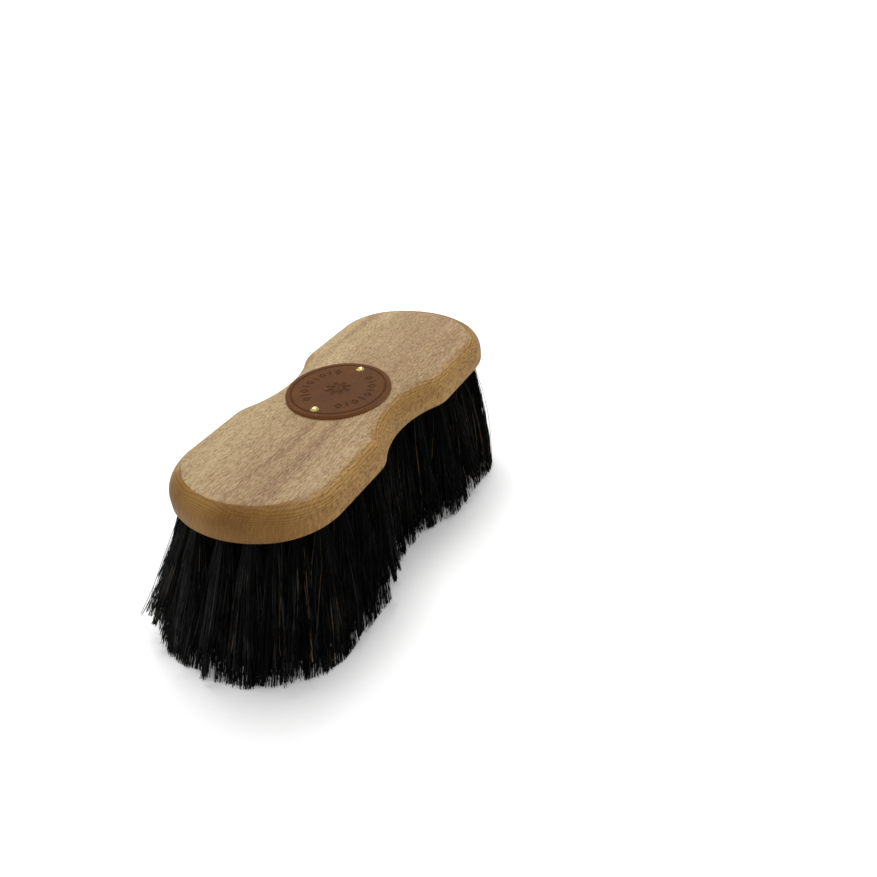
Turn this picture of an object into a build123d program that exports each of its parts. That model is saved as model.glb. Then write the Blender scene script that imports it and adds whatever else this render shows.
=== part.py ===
"""Waisted hand brush: a beech block with a leather badge, filled with tufts of horsehair.

Frame: X runs along the brush, Y across it and Z up. The brush stands on the tips of its
hair, and the origin is the middle of its footprint on the surface it stands on.
All sizes are in millimetres.
"""
from build123d import *
import math
import os

# --- the beech block ---
block_length = 190.0         # over the two noses
lobe_width = 79.6            # across each rounded lobe
waist_width = 64.0           # at the narrowest place
scallop_length = 53.5        # from corner to corner of each hollow in the sides
block_thickness = 14.0
nose_radius = 50.0           # the end of each lobe, in plan
nose_corner_radius = 31.0    # between the nose and the straight flank
scallop_corner_radius = 16.0
top_round_radius = 10.0      # rounding of the upper edge
top_planed_off = 0.5         # the back is planed flat after it is rounded
crease_round = 8.0           # sanding of the crease that the planing leaves
lower_arris = 1.0            # eased lower edge

# --- the hair and its holes ---
hair_length = 60.0           # what shows below the block
hole_diameter = 5.0
hole_depth = 9.5
hole_tip_depth = 1.2         # cone left by the drill
hole_overrun = 2.0           # how far the drill is drawn outside the underside
hole_margin = 7.0            # from the side of the block to the outermost hole's middle
margin_slack = 1.5           # how much nearer to the edge a hole may be round the noses
row_count = 29
row_pitch = 6.16
holes_in_wide_row = 6        # every second row has one hole fewer, half a pitch across
side_lean = 0.30             # how far the tips stand outside their holes, per mm across
end_lean = 0.12              # the same, along the brush
straight_collar = 0.6        # length of tuft outside the hole before it starts to spread
tip_fill = 0.48              # radius of a tuft's tip, per mm to the nearest other tip
untrimmed = 1.2              # length of a tuft before it is trimmed level, per mm of hair

# --- the flat wire anchors ---
anchor_width = 6.2           # a little more than the hole, so that its ends bite
anchor_height = 1.8
anchor_thickness = 0.4
fold_thickness = 1.2         # of hair between the anchor and the bottom of the hole

# --- the badge and its nails ---
badge_radius = 24.5
badge_thickness = 1.6
badge_edge_round = 0.6
nail_offset = 19.3           # from the middle of the badge, along the brush
nail_head_radius = 2.0
nail_head_height = 1.0
nail_shank_radius = 0.65
nail_length = 10.0           # below the head
nail_point_length = 2.0

# --- what follows from them ---
scallop_depth = (lobe_width - waist_width) / 2
scallop_radius = (scallop_length ** 2 / 4 + scallop_depth ** 2) / (2 * scallop_depth)
cutter_size = 3 * block_length   # wide enough to trim the whole brush
underside = hair_length
back = underside + block_thickness
badge_top = back + badge_thickness
rows_per_anchor_node = 2


def block_outline():
    """The block in plan: two round-nosed lobes with a shallow hollow in each side."""
    nose_centre = block_length / 2 - nose_radius
    plan = Rectangle(2 * nose_centre, lobe_width)
    plan += [Pos(side * nose_centre, 0) * Circle(nose_radius) for side in (-1, 1)]
    plan &= Rectangle(block_length, lobe_width)
    noses = plan.vertices().filter_by(lambda v: abs(v.X) > nose_centre)
    plan = fillet(noses, nose_corner_radius)

    middle = waist_width / 2 + scallop_radius
    plan -= [Pos(0, side * middle) * Circle(scallop_radius) for side in (-1, 1)]
    corners = plan.vertices().filter_by(lambda v: abs(v.X) < scallop_length / 2 + lower_arris)
    return fillet(corners, scallop_corner_radius)


def side_half_width(x):
    """Half the block's width at x, with its hollow sides but without its round noses."""
    if abs(x) >= scallop_length / 2:
        return lobe_width / 2
    return waist_width / 2 + scallop_radius - math.sqrt(scallop_radius ** 2 - x ** 2)


def row_roots(row, drilled_area):
    """The middles of one row's holes on the underside; the first row is a narrow one."""
    x = (row - (row_count - 1) / 2) * row_pitch
    across = 2 * (side_half_width(x) - hole_margin) / (holes_in_wide_row - 1)
    count = holes_in_wide_row - (row + 1) % 2
    ys = [(i - (count - 1) / 2) * across for i in range(count)]
    return [Vector(x, y, underside) for y in ys if drilled_area.is_inside((x, y, 0))]


def tip_of(root):
    """The middle of a tuft's tip: the hair leans outwards, more so nearer the edge."""
    return Vector(root.X * (1 + end_lean), root.Y * (1 + side_lean), 0)


def tip_radius(root, roots):
    """Half the way, nearly, to the nearest other tip, so that the tufts never meet."""
    gaps = [(tip_of(root) - tip_of(other)).length for other in roots if other is not root]
    return tip_fill * min(gaps)


def tuft_frame(root):
    """The frame of a tuft: its origin is on the underside and its Z runs down to the tips."""
    return Plane(origin=root, x_dir=(0, 1, 0), z_dir=tip_of(root) - root)


def hole_tool(frame):
    """What the drill takes out of the block for one tuft."""
    radius = hole_diameter / 2
    bottom = -hole_depth
    profile = Polyline(
        (0, bottom - hole_tip_depth),
        (radius, bottom),
        (radius, hole_overrun),
        (0, hole_overrun),
        close=True,
    )
    drill = revolve(Plane.XZ * make_face(profile), Axis.Z)
    return frame * drill


def anchor(frame):
    """One flat piece of wire, which holds the fold of a tuft down in its hole."""
    middle = -hole_depth + fold_thickness + anchor_height / 2
    return frame * (Pos(0, 0, middle) * Box(anchor_width, anchor_thickness, anchor_height))


def tuft(root, spread_radius):
    """One bundle of hair: round in its hole, and spreading to its trimmed tips."""
    frame = tuft_frame(root)
    radius = hole_diameter / 2
    reach = hair_length * untrimmed
    slope = (spread_radius - radius) / hair_length
    profile = Polyline(
        (0, -hole_depth),
        (radius, -hole_depth),
        (radius, straight_collar),
        (radius + slope * reach, reach),
        (0, reach),
        close=True,
    )
    bundle = frame * revolve(Plane.XZ * make_face(profile), Axis.Z)
    below_floor = Pos(0, 0, -cutter_size / 2) * Box(cutter_size, cutter_size, cutter_size)
    return bundle - below_floor - anchor(frame)


def nail_shank(length):
    """The shank of a badge nail, pointing down from the origin."""
    profile = Polyline(
        (0, 0),
        (nail_shank_radius, 0),
        (nail_shank_radius, nail_point_length - length),
        (0, -length),
        close=True,
    )
    return revolve(Plane.XZ * make_face(profile), Axis.Z)


def nail(side):
    """A round-headed brass nail through the badge; side is -1 or 1."""
    dome_radius = (nail_head_radius ** 2 + nail_head_height ** 2) / (2 * nail_head_height)
    dome = Pos(0, 0, nail_head_height - dome_radius) * Sphere(dome_radius)
    above_badge = Pos(0, 0, dome_radius) * Box(*[2 * dome_radius] * 3)
    head = dome & above_badge
    return Pos(side * nail_offset, 0, badge_top) * (head + nail_shank(nail_length))


def badge():
    """The round leather badge, with its two nail holes."""
    disc = extrude(Circle(badge_radius), badge_thickness)
    disc = fillet(disc.edges().group_by(Axis.Z)[-1], badge_edge_round)
    for side in (-1, 1):
        disc -= Pos(side * nail_offset, 0) * Cylinder(nail_shank_radius, 3 * badge_thickness)
    return Pos(0, 0, back) * disc


def block(outline, cuts):
    """The beech block: rounded over above, planed flat on the back and drilled from below."""
    wood = extrude(outline, block_thickness + top_planed_off)
    wood = fillet(wood.edges().group_by(Axis.Z)[-1], top_round_radius)
    wood &= Pos(0, 0, block_thickness / 2) * Box(cutter_size, cutter_size, block_thickness)
    wood = fillet(wood.edges().group_by(Axis.Z)[-1], crease_round)
    wood = fillet(wood.edges().group_by(Axis.Z)[0], lower_arris)
    wood = Pos(0, 0, underside) * wood
    for side in (-1, 1):
        wood -= Pos(side * nail_offset, 0, badge_top) * nail_shank(nail_length)
    return wood - cuts


def write(node, solids):
    """Write one node, made of one or more separate solids, to its own file."""
    shape = solids[0] if len(solids) == 1 else Compound(children=solids)
    shape.label = node
    export_step(shape, f"parts/{node}.step")


os.makedirs("parts", exist_ok=True)
outline = block_outline()
drilled_area = offset(outline, margin_slack - hole_margin).face()
rows = [row_roots(row, drilled_area) for row in range(row_count)]
roots = [root for row in rows for root in row]
anchors = [[anchor(tuft_frame(root)) for root in row] for row in rows]
cuts = [hole_tool(tuft_frame(root)) for root in roots] + [wire for row in anchors for wire in row]

write("beech_block", [block(outline, cuts)])
write("leather_badge", [badge()])
write("badge_nail_left", [nail(-1)])
write("badge_nail_right", [nail(1)])
for number, row in enumerate(rows, start=1):
    write(f"tuft_row_{number:02d}", [tuft(root, tip_radius(root, roots)) for root in row])
for first in range(0, row_count, rows_per_anchor_node):
    group = [wire for row in anchors[first:first + rows_per_anchor_node] for wire in row]
    write(f"wire_anchors_{first // rows_per_anchor_node + 1:02d}", group)
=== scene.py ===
"""A waisted hand brush in Blender: beech block, leather badge, brass nails and horsehair.

Lengths are in metres, in the frame of the CAD: X runs along the brush, Y across it and Z up,
and the trimmed tips of the hair stand on Z = 0.
"""
import math

import bpy
import numpy as np
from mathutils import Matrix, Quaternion, Vector


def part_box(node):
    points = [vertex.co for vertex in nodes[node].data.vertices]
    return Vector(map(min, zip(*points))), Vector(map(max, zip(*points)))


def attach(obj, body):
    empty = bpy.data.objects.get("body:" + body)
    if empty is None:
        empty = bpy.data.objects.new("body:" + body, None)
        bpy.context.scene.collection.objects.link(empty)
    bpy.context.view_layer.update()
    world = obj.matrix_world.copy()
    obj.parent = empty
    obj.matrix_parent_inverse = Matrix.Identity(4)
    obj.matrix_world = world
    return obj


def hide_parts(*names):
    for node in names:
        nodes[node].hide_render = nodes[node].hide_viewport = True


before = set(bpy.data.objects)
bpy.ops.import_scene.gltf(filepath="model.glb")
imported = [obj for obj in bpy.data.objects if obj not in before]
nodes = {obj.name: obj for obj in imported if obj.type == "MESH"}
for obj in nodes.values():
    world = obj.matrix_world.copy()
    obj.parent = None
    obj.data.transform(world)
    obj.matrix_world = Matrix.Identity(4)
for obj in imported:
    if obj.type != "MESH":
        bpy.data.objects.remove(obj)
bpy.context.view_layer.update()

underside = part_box("beech_block")[0].z
mm = 0.001

# --- camera ---
camera_place = (-275.3 * mm, -212.5 * mm, 270.4 * mm)
camera_aim = (12.2 * mm, -43.7 * mm, 50.5 * mm)
camera_roll = math.radians(-5.4)
camera_lens = 35.2             # millimetres, on a sensor 36 millimetres wide

# --- light and floor ---
sky_strength = 0.6
key_place = (0.62, 0.38, 1.5)
key_size = 0.75
key_power = 19.5
floor_size = 8.0
floor_glow = (0.16, 0.55)      # near the brush and far from it, as a white sweep is lit
glow_start = 150.0             # millimetres from the middle of the brush
glow_end = 700.0

# --- beech: where its figure lies, in millimetres ---
pith_y = 10.0                  # the middle of the growth rings, far below the block
pith_z = -160.0
typical_radius = 230.0         # of the rings in the block, which turns an angle into a length
ring_spacing = 0.85
ring_waver = 4.0
streak_drift = 8.0             # how far the heart streaks wander to the side
main_streak_y = 0.5            # both before that drift, which moves them towards -Y
faint_streak_y = -10.5

# --- hair ---
hairs_per_tuft = 300
hair_radius = 0.19 * mm
thinnest_hair = 0.8            # of that radius
extra_thickness = 0.9          # and what the thickest hairs have on top
hole_radius = 2.5 * mm
root_fill = 0.92               # how much of the hole the roots take up
hair_tip_share = 0.85          # thickness of a hair's tip, as a share of its root's
hair_hidden = 2.0 * mm         # length of hair modelled inside the hole
hair_sides = 3
hair_stations = (0.0, 0.1, 0.28, 0.5, 0.75, 1.0)
hair_bend = 1.3 * mm
bend_limit = 1.9 * mm          # a hair bows no further than this
wave_share = 0.4               # of the bow, in a second, S-shaped bend
tuft_spread = 2.1              # tips' circle, as a share of the CAD tuft's own
hair_flare = (7.8 * mm, 9.8 * mm)  # from the block's outline to the tips', along and across
flare_rag = 0.012              # how unevenly the locks fill that outline
furthest_lock = 2.5            # what the furthest lock has of that unevenness
outline_tries = 41             # places tried along a hair for the one inside the outline
locks_per_tuft = 16
lock_pull = 0.22               # how far the tips are drawn together into locks
pull_range = (0.3, 1.3)        # from hair to hair, as a share of a lock's pull
loose_tips = 0.16              # scatter of the tips, as a share of their circle
hair_lean = (-12.6 * mm, 3.8 * mm)  # how far the tips are set over, along and across
lean_power = 1.05
tip_rag = 0.25 * mm            # unevenness of the trimmed tips within a lock
most_tip_rag = 4               # times that, at most
lock_rag = 1.4 * mm            # unevenness from lock to lock
stray_share = 0.3              # of the locks
stray_pull = 0.75              # how far a stray lock is drawn together
stray_reach = 3.4 * mm         # how far stray tips stand out, mostly
stray_limit = 4.6 * mm         # and at most
stray_power = 3.0              # stray locks part from the others only near their tips
stray_lift = 14.0 * mm         # how much shorter a stray lock may be
furthest_hair = 117.4 * mm     # from the middle of the brush, along it

# --- reading the CAD meshes ---
weld = 0.01 * mm               # vertices nearer than this are one
floor_band = 0.2 * mm          # height of the band that holds a tuft's tip ring
collar_height = 0.6 * mm       # of the ring where a tuft starts to spread, below the block
collar_band = 1.6 * mm
foot_height = 1.0 * mm         # of the block's upright side above its underside
foot_band = 0.1 * mm

# --- badge ---
badge_edge_round = 0.6 * mm
badge_rings = 170
badge_spokes = 520
badge_round_rings = 6          # on its rounded edge
badge_border = 0.3 * mm        # of plain leather inside the rounded edge
badge_border_soften = 0.4 * mm
groove_depth = 0.5 * mm
groove_width = 0.45 * mm
groove_ring = 0.895            # radius of the groove, as a share of the badge's
stamp_depth = 0.35 * mm
stamp_soften = 0.14 * mm
stamp_stroke = 0.65 * mm
stamp_ring = 0.64              # radius of the ring of stamps, as a share of the badge's
stamp_height = 4.6 * mm        # of a lozenge
stamp_width = 3.4 * mm
bar_height = 1.2 * stamp_height
bar_width = 2 * stamp_stroke
lozenge_hollow = 1 - 2.6 * stamp_stroke / stamp_width  # size of its plain middle, as a share
stamps_per_arc = 9
stamp_pitch = 3.9 * mm
rosette_radius = 6.2 * mm
rosette_petals = 8
petal_start = 0.3              # these three are shares of the rosette's radius
petal_gap = 0.35               # how far out the gaps between the petals reach
rosette_dot = 0.16
petal_fullness = 0.6           # below 1 the petals are broader than a cosine's


def colour(code):
    """A six-digit sRGB colour as linear red, green, blue and alpha."""
    parts = [int(code[i:i + 2], 16) / 255 for i in (0, 2, 4)]
    return tuple(((c + 0.055) / 1.055) ** 2.4 if c > 0.04 else c / 12.92 for c in parts) + (1.0,)


class Finish:
    """A new material on one principled shader, with short calls that add its nodes."""

    def __init__(self, name, **constants):
        self.material = bpy.data.materials.new(name)
        self.material.use_nodes = True
        self.tree = self.material.node_tree
        self.shader = self.tree.nodes["Principled BSDF"]
        for socket, value in constants.items():
            self.shader.inputs[socket.replace("_", " ")].default_value = value

    def feed(self, socket, value):
        """Link a socket to another one, or set it to a constant."""
        if isinstance(value, bpy.types.NodeSocket):
            self.tree.links.new(value, socket)
        else:
            socket.default_value = value

    def node(self, kind, values=(), **settings):
        """A new node, with its inputs fed and its settings made."""
        made = self.tree.nodes.new("ShaderNode" + kind)
        for key, value in settings.items():
            setattr(made, key, value)
        for socket, value in dict(values).items():
            self.feed(made.inputs[socket], value)
        return made

    def place(self):
        """Where a point is on the object, in millimetres."""
        here = self.node("TexCoord").outputs["Object"]
        return self.node("VectorMath", {0: here, "Scale": 1 / mm}, operation="SCALE").outputs[0]

    def split(self, vector):
        return self.node("SeparateXYZ", {0: vector}).outputs

    def join(self, x, y, z):
        return self.node("CombineXYZ", {0: x, 1: y, 2: z}).outputs[0]

    def stretched(self, vector, x, y, z):
        """The vector, in cells of x by y by z millimetres."""
        cells = (1 / x, 1 / y, 1 / z)
        return self.node("VectorMath", {0: vector, 1: cells}, operation="MULTIPLY").outputs[0]

    def calc(self, operation, *values):
        return self.node("Math", dict(enumerate(values)), operation=operation).outputs[0]

    def noise(self, vector, detail, roughness=0.5):
        values = {"Vector": vector, "Scale": 1.0, "Detail": detail, "Roughness": roughness}
        return self.node("TexNoise", values).outputs[0]

    def cells(self, vector, feature="F1"):
        """Distance to the middle of the nearest random cell, or to its edge."""
        values = {"Vector": vector, "Scale": 1.0}
        return self.node("TexVoronoi", values, feature=feature).outputs["Distance"]

    def band(self, value, low, high, out_low=0.0, out_high=1.0):
        """A smooth step from out_low at low to out_high at high."""
        values = {0: value, 1: low, 2: high, 3: out_low, 4: out_high}
        return self.node("MapRange", values, interpolation_type="SMOOTHSTEP").outputs[0]

    def blend(self, factor, first, second):
        """The first colour where the factor is 0, and the second where it is 1."""
        values = {0: factor, 6: first, 7: second}
        return self.node("Mix", values, data_type="RGBA").outputs[2]

    def ramp(self, value, *stops):
        """Colours by value, from stops of (position, colour)."""
        made = self.node("ValToRGB", {0: value})
        elements = made.color_ramp.elements
        while len(elements) < len(stops):
            elements.new(0.5)
        for element, (position, code) in zip(elements, stops):
            element.position = position
            element.color = colour(code)
        return made.outputs[0]

    def bump(self, height, depth, below=None):
        """A surface normal for relief of the given depth, on top of another relief."""
        values = {"Height": height, "Distance": depth, "Strength": 1.0}
        if below is not None:
            values["Normal"] = below
        return self.node("Bump", values).outputs[0]

    def facing_up(self):
        """1 on level faces, above or below, and 0 on upright ones."""
        normal = self.node("NewGeometry").outputs["Normal"]
        return self.calc("ABSOLUTE", self.split(normal)[2])

    def end_grain(self):
        """1 where a side faces along the brush, and 0 where it faces across it."""
        x, y, _ = self.split(self.node("NewGeometry").outputs["Normal"])
        turn = self.calc("ARCTAN2", self.calc("ABSOLUTE", x), self.calc("ABSOLUTE", y))
        return self.band(turn, 0.25, 1.0)

    def set(self, **sockets):
        """Feed the shader's sockets, and give back the finished material."""
        for socket, value in sockets.items():
            self.feed(self.shader.inputs[socket.replace("_", " ")], value)
        return self.material


def beech():
    """Flat-sawn beech: growth rings round a far pith, heart streaks, and rays as flecks.

    The planed back is paler than the sides, and the sides are darkest on the end grain.
    The back is painted paler towards +Y, partly as painted light, and the colour step at the
    crease partly stands in for the crease's shading, as painted shade.
    """
    f = Finish("beech", Specular_IOR_Level=0.12)
    here = f.place()
    x, y, z = f.split(here)
    across = f.calc("SUBTRACT", y, pith_y)
    above = f.calc("SUBTRACT", z, pith_z)
    radius = f.calc("SQRT", f.calc("ADD", f.calc("MULTIPLY", across, across),
                                   f.calc("MULTIPLY", above, above)))
    around = f.calc("MULTIPLY", f.calc("ARCTAN2", across, above), typical_radius)
    waver = f.noise(f.stretched(here, 110, 26, 26), detail=2)
    radius = f.calc("ADD", radius, f.calc("MULTIPLY", waver, ring_waver))
    grain = f.join(x, around, radius)

    rings = f.calc("FRACT", f.calc("DIVIDE", radius, ring_spacing))
    late_wood = f.calc("MAXIMUM", f.band(rings, 0.4, 0.95), f.band(rings, 0.0, 0.1, 1.0, 0.0))
    rays = f.noise(f.stretched(grain, 3.0, 0.3, 5.0), detail=2)
    flecks = f.noise(f.stretched(grain, 3.0, 0.5, 3.0), detail=1)
    dashes = f.cells(f.stretched(grain, 2.6, 0.7, 6.0))
    dark_flecks = f.band(dashes, 0.12, 0.44, 1.0, 0.0)
    fibre = f.noise(f.stretched(grain, 7.0, 0.22, 0.3), detail=3, roughness=0.6)
    streaks = f.noise(f.stretched(grain, 120, 7.5, 9.0), detail=3, roughness=0.6)
    streaks = f.calc("ADD", streaks, f.calc("MULTIPLY", fibre, 0.12))
    wander = f.noise(f.stretched(here, 70, 40, 40), detail=1)
    drifted_y = f.calc("ADD", y, f.calc("MULTIPLY", wander, streak_drift))
    main = f.calc("ABSOLUTE", f.calc("SUBTRACT", drifted_y, main_streak_y))
    main = f.band(main, 0.8, 3.6, 0.95, 0.0)
    main = f.calc("MULTIPLY", main, f.band(f.calc("ABSOLUTE", x), 45.0, 85.0, 1.0, 0.25))
    faint = f.calc("ABSOLUTE", f.calc("SUBTRACT", drifted_y, faint_streak_y))
    faint = f.band(faint, 0.8, 4.0, 0.5, 0.0)
    heart = f.calc("MULTIPLY", f.calc("MAXIMUM", main, faint), f.band(streaks, 0.36, 0.6))
    # Partly painted light: the back is painted paler towards +Y, as if that side were more lit.
    paler_side_painted_light = f.band(f.calc("ADD", y, drifted_y), 10.0, 45.0, 0.0, 0.7)
    tone = f.noise(f.stretched(here, 60, 22, 22), detail=1)

    level = f.facing_up()
    end = f.end_grain()
    # The crisp colour step at the crease is partly the real change to end grain and partly
    # painted shade, standing in for the shading of a sharper crease.
    crisp = f.band(level, 0.965, 0.985, 1.0, 0.0)
    gradual = f.band(level, 0.75, 0.99, 1.0, 0.0)
    edge = f.calc("MAXIMUM", f.calc("MULTIPLY", crisp, end), gradual)
    end = f.calc("MULTIPLY", crisp, end)

    base = f.ramp(tone, (0.3, "ad9370"), (0.7, "9d8260"))
    # painted light: paler towards +Y
    base = f.blend(paler_side_painted_light, base, colour("b9a37c"))
    base = f.blend(f.band(streaks, 0.58, 0.74, 0.0, 0.5), base, colour("86654d"))
    base = f.blend(heart, base, colour("7d5d48"))
    # Golden sides and darker end grain: their own colour, with the sides also a little darker as
    # painted shade.
    base = f.blend(edge, base, f.ramp(tone, (0.3, "b08b53"), (0.7, "98703c")))
    base = f.blend(end, base, f.ramp(tone, (0.3, "96703a"), (0.7, "765122")))
    on_end = f.band(end, 0.0, 1.0, 1.0, 0.25)
    darker = f.calc("MULTIPLY", f.band(flecks, 0.5, 0.66, 0.0, 0.34), on_end)
    lighter = f.calc("MULTIPLY", f.band(flecks, 0.34, 0.5, 0.4, 0.0), on_end)
    base = f.blend(darker, base, colour("6e5034"))
    base = f.blend(lighter, base, f.blend(edge, colour("c9b28c"), colour("bf9b62")))
    ringed = f.calc("MULTIPLY", late_wood, f.band(edge, 0.0, 1.0, 0.1, 0.42))
    base = f.blend(ringed, base, colour("5a3d1c"))
    rayed = f.calc("MULTIPLY", f.band(rays, 0.5, 0.66), f.band(end, 0.0, 1.0, 0.0, 0.2))
    base = f.blend(rayed, base, colour("9c7841"))
    base = f.blend(f.band(fibre, 0.45, 0.75, 0.0, 0.3), base, colour("7b6240"))
    dashed = f.calc("MULTIPLY", dark_flecks, f.band(end, 0.0, 1.0, 0.6, 0.15))
    base = f.blend(dashed, base, colour("64462a"))

    relief = f.bump(f.band(dashes, 0.1, 0.5), 0.07 * mm)
    relief = f.bump(fibre, 0.04 * mm, relief)
    rough = f.band(fibre, 0.2, 0.8, 0.5, 0.64)
    return f.set(Base_Color=base, Roughness=rough, Normal=relief)


def leather(top):
    """Vegetable-tanned leather: darker the deeper it is pressed in, and paler on its cut edge.
    """
    f = Finish("badge_leather", Specular_IOR_Level=0.1)
    here = f.place()
    depth = f.calc("SUBTRACT", top / mm, f.split(here)[2])
    darker_with_depth = f.band(depth, 0.05, 0.35)
    level = f.facing_up()
    cut = f.band(level, 0.3, 0.9, 1.0, 0.0)
    cloud = f.noise(f.stretched(here, 9, 9, 9), detail=3, roughness=0.6)
    pores = f.cells(f.stretched(here, 0.55, 0.55, 0.55))
    creases = f.cells(f.stretched(here, 1.1, 1.1, 1.1), feature="DISTANCE_TO_EDGE")
    base = f.ramp(cloud, (0.25, "4e2c10"), (0.5, "593414"), (0.75, "633d1b"))
    base = f.blend(f.band(pores, 0.1, 0.4, 0.2, 0.0), base, colour("3a2010"))
    # darker the deeper the leather is pressed in
    base = f.blend(f.calc("MULTIPLY", darker_with_depth, 0.5), base, colour("331b0d"))
    base = f.blend(f.calc("MULTIPLY", cut, 0.8), base, colour("8a5c2f"))
    relief = f.bump(f.band(creases, 0.0, 0.16), 0.05 * mm)
    relief = f.bump(pores, 0.03 * mm, relief)
    rough = f.band(cloud, 0.3, 0.7, 0.44, 0.58)
    return f.set(Base_Color=base, Roughness=rough, Normal=relief)


def brass():
    """Polished brass with a little tarnish and small hammered facets."""
    f = Finish("nail_brass", Metallic=1.0)
    here = f.place()
    tarnish = f.noise(f.stretched(here, 1.2, 1.2, 1.2), detail=3, roughness=0.7)
    facets = f.cells(f.stretched(here, 0.9, 0.9, 0.9))
    base = f.ramp(tarnish, (0.35, "f5e19c"), (0.7, "c79f48"))
    rough = f.band(tarnish, 0.3, 0.8, 0.1, 0.3)
    return f.set(Base_Color=base, Roughness=rough, Normal=f.bump(facets, 0.25 * mm))


def wire():
    """Drawn steel wire: grey, with fine lines along it."""
    f = Finish("anchor_wire", Metallic=1.0)
    here = f.place()
    lines = f.noise(f.stretched(here, 4.0, 4.0, 0.08), detail=2)
    base = f.ramp(lines, (0.3, "8d8f92"), (0.7, "b4b6b8"))
    return f.set(Base_Color=base, Roughness=f.band(lines, 0.3, 0.7, 0.3, 0.45))


def horsehair():
    """Black horsehair with some brown and a few tan hairs, partly painted strand highlights, and
    painted shade towards the roots.
    """
    f = Finish("horsehair", Specular_IOR_Level=0.06)
    here = f.place()
    which = f.node("NewGeometry").outputs["Random Per Island"]
    # The grey, brown and tan strands are partly the hair's own mix of colours and partly painted
    # highlights, in place of the glints on the strands.
    base = f.ramp(
        which,
        (0.0, "020202"), (0.45, "060708"), (0.72, "15171a"), (0.84, "2b2d2f"),
        (0.93, "3a3731"), (0.97, "4a4033"), (0.994, "8a745a"),
    )
    along = f.noise(f.stretched(here, 6, 6, 14), detail=2)
    # Painted shade: the hair is painted darker towards the block, where it lies in the block's
    # shade, and blackened in patches along each hair, breaking the light strands up as if they
    # dipped into shade.
    painted_root_shade = f.band(f.split(here)[2], 34.0, 58.0, 0.0, 0.8)
    painted_shade = f.calc("MAXIMUM", f.band(along, 0.44, 0.6, 0.0, 0.75), painted_root_shade)
    base = f.blend(painted_shade, base, colour("020202"))
    rough = f.band(along, 0.2, 0.8, 0.34, 0.5)
    return f.set(Base_Color=base, Roughness=rough)


def paper():
    """The pale floor, which glows more away from the brush so that it stays white there."""
    f = Finish("pale_floor", Specular_IOR_Level=0.0)
    here = f.place()
    mottle = f.noise(f.stretched(here, 400, 400, 400), detail=1)
    white = f.ramp(mottle, (0.3, "f4f4f4"), (0.7, "f6f6f6"))
    away = f.node("VectorMath", {0: here}, operation="LENGTH").outputs["Value"]
    glow = f.band(away, glow_start, glow_end, *floor_glow)
    return f.set(Base_Color=white, Roughness=0.9, Emission_Color=white, Emission_Strength=glow)


def add(name, data):
    """A new object in the scene, with the given mesh, light or camera."""
    made = bpy.data.objects.new(name, data)
    bpy.context.scene.collection.objects.link(made)
    return made


def mesh_of(name, points, faces, material):
    """A new smooth-shaded mesh object from arrays of points and of faces."""
    data = bpy.data.meshes.new(name)
    data.from_pydata([tuple(p) for p in points], [], [tuple(face) for face in faces])
    data.materials.append(material)
    data.polygons.foreach_set("use_smooth", [True] * len(data.polygons))
    data.update()
    return add(name, data)


def make_camera():
    data = bpy.data.cameras.new("camera")
    data.lens = camera_lens
    data.sensor_width = 36.0
    data.clip_start = 0.01
    data.clip_end = 30.0
    camera = add("camera", data)
    camera.location = camera_place
    towards = Vector(camera_aim) - camera.location
    camera.rotation_mode = "QUATERNION"
    roll = Quaternion((0, 0, 1), camera_roll)
    camera.rotation_quaternion = towards.to_track_quat("-Z", "Y") @ roll
    bpy.context.scene.camera = camera


def make_light():
    scene = bpy.context.scene
    scene.view_settings.view_transform = "Standard"
    scene.world = bpy.data.worlds.new("studio")
    scene.world.use_nodes = True
    sky = scene.world.node_tree.nodes["Background"]
    sky.inputs["Color"].default_value = (1.0, 1.0, 1.0, 1.0)
    sky.inputs["Strength"].default_value = sky_strength
    data = bpy.data.lights.new("key", "AREA")
    data.size = key_size
    data.energy = key_power
    key = add("key", data)
    key.location = key_place
    key.rotation_mode = "QUATERNION"
    key.rotation_quaternion = (-Vector(key_place)).to_track_quat("-Z", "Y")


def make_floor():
    half = floor_size / 2
    corners = [(-half, -half, 0), (half, -half, 0), (half, half, 0), (-half, half, 0)]
    mesh_of("floor", corners, [(0, 1, 2, 3)], paper())


def soft_step(value, edge, soften):
    """0 below the edge and 1 above it, changing smoothly over the given distance."""
    t = np.clip((value - edge) / soften + 0.5, 0, 1)
    return t * t * (3 - 2 * t)


def lozenge(along, across, height, width):
    """1 inside a lozenge and 0 outside it, with soft edges."""
    reach = 1 - np.abs(along) / (height / 2) - np.abs(across) / (width / 2)
    return soft_step(reach * width / 2, 0, stamp_soften)


def stamps(radius, angle, badge_radius):
    """Two arcs of generic stamps, lozenges and bars by turns, one on each side."""
    depth = np.zeros_like(radius)
    middle = stamp_ring * badge_radius
    along = radius - middle
    for side in (-1, 1):
        for number in range(stamps_per_arc):
            place = (number - (stamps_per_arc - 1) / 2) * stamp_pitch / middle
            turn = angle - side * math.pi / 2 - place
            across = middle * np.arctan2(np.sin(turn), np.cos(turn))
            if number % 2:
                mark = lozenge(along, across, bar_height, bar_width)
            else:
                middle_height = stamp_height * lozenge_hollow
                middle_width = stamp_width * lozenge_hollow
                mark = lozenge(along, across, stamp_height, stamp_width)
                mark = mark - lozenge(along, across, middle_height, middle_width)
            depth = np.maximum(depth, mark)
    return depth


def rosette(radius, angle):
    """A plain flower of petals round a dot, in the middle of the badge."""
    petal = np.abs(np.cos(angle * rosette_petals / 2)) ** petal_fullness
    reach = rosette_radius * (petal_gap + (1 - petal_gap) * petal)
    outer = soft_step(reach - radius, 0, stamp_soften)
    inner = soft_step(radius, rosette_radius * petal_start, stamp_soften)
    dot = soft_step(rosette_radius * rosette_dot - radius, 0, stamp_soften)
    return np.maximum(outer * inner, dot)


def groove(radius, badge_radius):
    """The narrow groove pressed in along the rim."""
    return groove_depth * np.exp(-((radius - groove_ring * badge_radius) / groove_width) ** 2)


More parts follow.
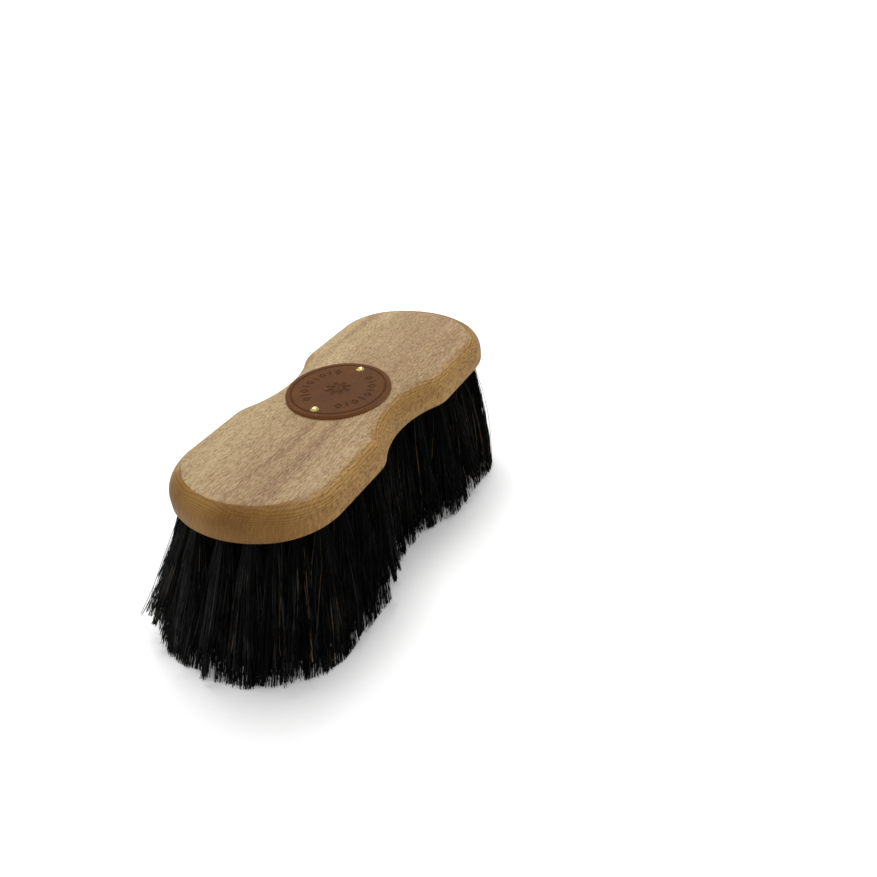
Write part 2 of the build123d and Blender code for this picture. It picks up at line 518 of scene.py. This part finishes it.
def make_badge():
    """The badge as a fine polar mesh, with its groove, stamps and rosette pressed in."""
    low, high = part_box("leather_badge")
    radius = (high.x - low.x) / 2
    rim = badge_edge_round
    flat = np.linspace(0, 1, badge_rings) * (radius - rim)
    bend = np.linspace(0, math.pi / 2, badge_round_rings + 1)[1:]
    reach = np.concatenate([flat, radius - rim + rim * np.sin(bend), [radius]])
    drop = np.concatenate([flat * 0, rim * (1 - np.cos(bend)), [high.z - low.z]])
    spokes = np.arange(badge_spokes) * 2 * math.pi / badge_spokes
    r, a = np.meshgrid(reach, spokes, indexing="ij")
    inside = soft_step(radius - rim - r, badge_border, badge_border_soften)
    pressed = stamp_depth * np.maximum(stamps(r, a, radius), rosette(r, a))
    height = high.z - drop[:, None] - inside * (pressed + groove(r, radius))
    x, y = r * np.cos(a), r * np.sin(a)
    points = np.stack([x, y, height], axis=-1).reshape(-1, 3)
    ring = np.arange(badge_spokes)
    following = (ring + 1) % badge_spokes
    faces = []
    for k in range(len(reach) - 1):
        first, second = k * badge_spokes, (k + 1) * badge_spokes
        quads = np.stack([first + ring, second + ring, second + following, first + following], 1)
        faces += quads.tolist()
    badge = mesh_of("badge", points, faces, leather(high.z))
    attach(badge, "root")
    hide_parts("leather_badge")


def points_of(node):
    """The vertices of a CAD node."""
    vertices = nodes[node].data.vertices
    points = np.zeros(len(vertices) * 3)
    vertices.foreach_get("co", points)
    return points.reshape(-1, 3)


def solid_of_each_point(node, points):
    """The number of the separate solid that each vertex of a CAD node belongs to."""
    data = nodes[node].data
    edges = np.zeros(len(data.edges) * 2, dtype=int)
    data.edges.foreach_get("vertices", edges)
    keys = np.round(points / weld).astype(int)
    _, same = np.unique(keys, axis=0, return_inverse=True)
    same = same.reshape(-1)
    edges = same[edges].reshape(-1, 2)
    label = np.arange(same.max() + 1)
    while True:
        least = np.minimum(label[edges[:, 0]], label[edges[:, 1]])
        before = label.copy()
        np.minimum.at(label, edges[:, 0], least)
        np.minimum.at(label, edges[:, 1], least)
        if (before == label).all():
            return label[same]


def tufts_of(node):
    """The root and the tip circle of each tuft in a CAD row: (root, tip, tip radius)."""
    points = points_of(node)
    label = solid_of_each_point(node, points)
    found = []
    for name in np.unique(label):
        own = points[label == name]
        tip_ring = own[own[:, 2] < floor_band]
        collar = own[np.abs(own[:, 2] - (underside - collar_height)) < collar_band]
        tip = (tip_ring.min(0) + tip_ring.max(0)) / 2
        root = (collar.min(0) + collar.max(0)) / 2
        root[2] = underside
        tip[2] = 0
        found.append((root, tip, np.ptp(tip_ring[:, 1]) / 2))
    return found


def block_edge():
    """Places along one side of the block, and half its width there."""
    points = points_of("beech_block")
    foot = np.abs(points[:, 2] - underside - foot_height) < foot_band
    edge = points[foot & (points[:, 1] >= 0)]
    edge = edge[np.argsort(edge[:, 0])]
    return edge[:, 0], edge[:, 1]


def drawn_inside(start, end, fill):
    """The ends of hairs, drawn back along them until they are in the trimmed outline."""
    edge_x, edge_y = edge_line
    wider_x = 1 + hair_flare[0] / edge_x.max()
    wider_y = 1 + hair_flare[1] / edge_y.max()
    shares = np.linspace(1, 0, outline_tries)
    tries = start[:, None] + (end - start)[:, None] * shares[None, :, None]
    room = np.interp(tries[:, :, 0] / wider_x / fill, edge_x, edge_y, left=0, right=0)
    inside = np.abs(tries[:, :, 1]) <= room * wider_y * fill
    return tries[np.arange(len(end)), inside.argmax(1)]


def in_disc(count, chance):
    """Random places in a disc of radius 1."""
    turn = chance.uniform(0, 2 * math.pi, count)
    spot = np.sqrt(chance.uniform(0, 1, count))
    return np.stack([np.cos(turn), np.sin(turn)], 1) * spot[:, None]


def gathered(chance):
    """Hairs gathered into locks: their roots and tips in a unit disc, locks, and strays."""
    at_root = in_disc(hairs_per_tuft, chance)
    locks = in_disc(locks_per_tuft, chance)
    own = np.linalg.norm(at_root[:, None] - locks[None], axis=2).argmin(1)
    stray = (chance.uniform(0, 1, locks_per_tuft) < stray_share)[own]
    pull = np.where(stray, stray_pull, lock_pull) * chance.uniform(*pull_range, hairs_per_tuft)
    loose = chance.normal(0, loose_tips, (hairs_per_tuft, 2)) * ~stray[:, None]
    at_tip = at_root + (locks[own] - at_root) * pull[:, None] + loose
    return at_root, at_tip, own, stray


def outline_fill(own, chance):
    """How far each hair may reach, as a share of the trimmed tips' outline."""
    reach = chance.uniform(0, 1, locks_per_tuft) ** 3
    fill = 1 + flare_rag * (furthest_lock * reach - 1)[own, None]
    return fill + chance.normal(0, flare_rag / 4, (hairs_per_tuft, 1))


def stray_push(end, own, stray, chance):
    """How far the tips of stray locks stand out, away from the middle of the brush."""
    away = np.minimum(np.abs(chance.normal(0, stray_reach, locks_per_tuft)), stray_limit)
    outward = end / np.linalg.norm(end, axis=1)[:, None]
    return outward * (away[own] * stray)[:, None]


def tip_heights(own, stray, chance):
    """How far each tip ends above the floor."""
    lift = lock_rag * (chance.uniform(0, 1, locks_per_tuft) ** 4)[own]
    lift += np.minimum(chance.exponential(tip_rag, hairs_per_tuft), most_tip_rag * tip_rag)
    lift += stray * chance.uniform(0, stray_lift, locks_per_tuft)[own]
    return lift


def hair_lines(root, tip, tip_radius, chance):
    """The middle lines of one tuft's hairs: hairs by stations by three."""
    at_root, at_tip, own, stray = gathered(chance)
    start = root[:2] + at_root * hole_radius * root_fill
    end = tip[:2] + at_tip * tip_radius * tuft_spread
    end = drawn_inside(start, end, outline_fill(own, chance))
    away = stray_push(end, own, stray, chance)
    lift = tip_heights(own, stray, chance)
    size = (hairs_per_tuft, 2)
    bend = np.clip(chance.normal(0, hair_bend, size), -bend_limit, bend_limit)
    wave = chance.normal(0, hair_bend * wave_share, size)

    lines = np.zeros((hairs_per_tuft, len(hair_stations), 3))
    for k, share in enumerate(hair_stations):
        side = start + (end - start) * share
        side = side + bend * math.sin(math.pi * share) + wave * math.sin(2 * math.pi * share)
        side = side + away * share ** stray_power + np.array(hair_lean) * share ** lean_power
        lines[:, k, 0] = np.clip(side[:, 0], -furthest_hair, furthest_hair)
        lines[:, k, 1] = side[:, 1]
        top = underside + (hair_hidden if k == 0 else 0)
        lines[:, k, 2] = top + (lift - top) * share
    return lines


def hair_mesh(name, lines, thickness, material):
    """Thin three-sided tubes along the given lines, closed at their tips."""
    count, stations, _ = lines.shape
    turn = np.arange(hair_sides) * 2 * math.pi / hair_sides
    circle = np.stack([np.cos(turn), np.sin(turn), turn * 0], 1)
    taper = 1 - (1 - hair_tip_share) * np.array(hair_stations)
    width = thickness[:, None, None, None] * taper[None, :, None, None]
    points = (lines[:, :, None, :] + circle * width).reshape(-1, 3)
    side = np.arange(hair_sides)
    following = (side + 1) % hair_sides
    level = (np.arange(stations - 1) * hair_sides)[:, None]
    quads = np.stack([level + side, level + following,
                      level + hair_sides + following, level + hair_sides + side], -1)
    first = (np.arange(count) * stations * hair_sides)[:, None, None]
    quads = (quads.reshape(1, -1, 4)[:, :, ::-1] + first).reshape(-1, 4)
    ends = first[:, :, 0] + (stations - 1) * hair_sides + side[None]
    faces = quads.tolist() + ends.tolist()
    return mesh_of(name, points, faces, material)


def make_hair():
    """One piece of hair for each CAD row of tufts, with its own seeded chance."""
    finish = horsehair()
    rows = sorted(node for node in nodes if node.startswith("tuft_row_"))
    for number, node in enumerate(rows):
        chance = np.random.default_rng(number + 1)
        tufts = [hair_lines(*tuft, chance) for tuft in tufts_of(node)]
        lines = np.concatenate(tufts)
        extra = extra_thickness * chance.uniform(0, 1, len(lines)) ** 4
        thickness = hair_radius * (thinnest_hair + extra)
        hair = hair_mesh(node.replace("tuft_row", "hair_row"), lines, thickness, finish)
        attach(hair, "root")
        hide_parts(node)


def refinish(name, material):
    """Give a CAD node that stays in view its own material."""
    for place in nodes[name].material_slots:
        place.material = material


edge_line = block_edge()

make_camera()
make_light()
make_floor()
refinish("beech_block", beech())
nail_finish = brass()
refinish("badge_nail_left", nail_finish)
refinish("badge_nail_right", nail_finish)
wire_finish = wire()
for node in nodes:
    if node.startswith("wire_anchors_"):
        refinish(node, wire_finish)
make_badge()
make_hair()
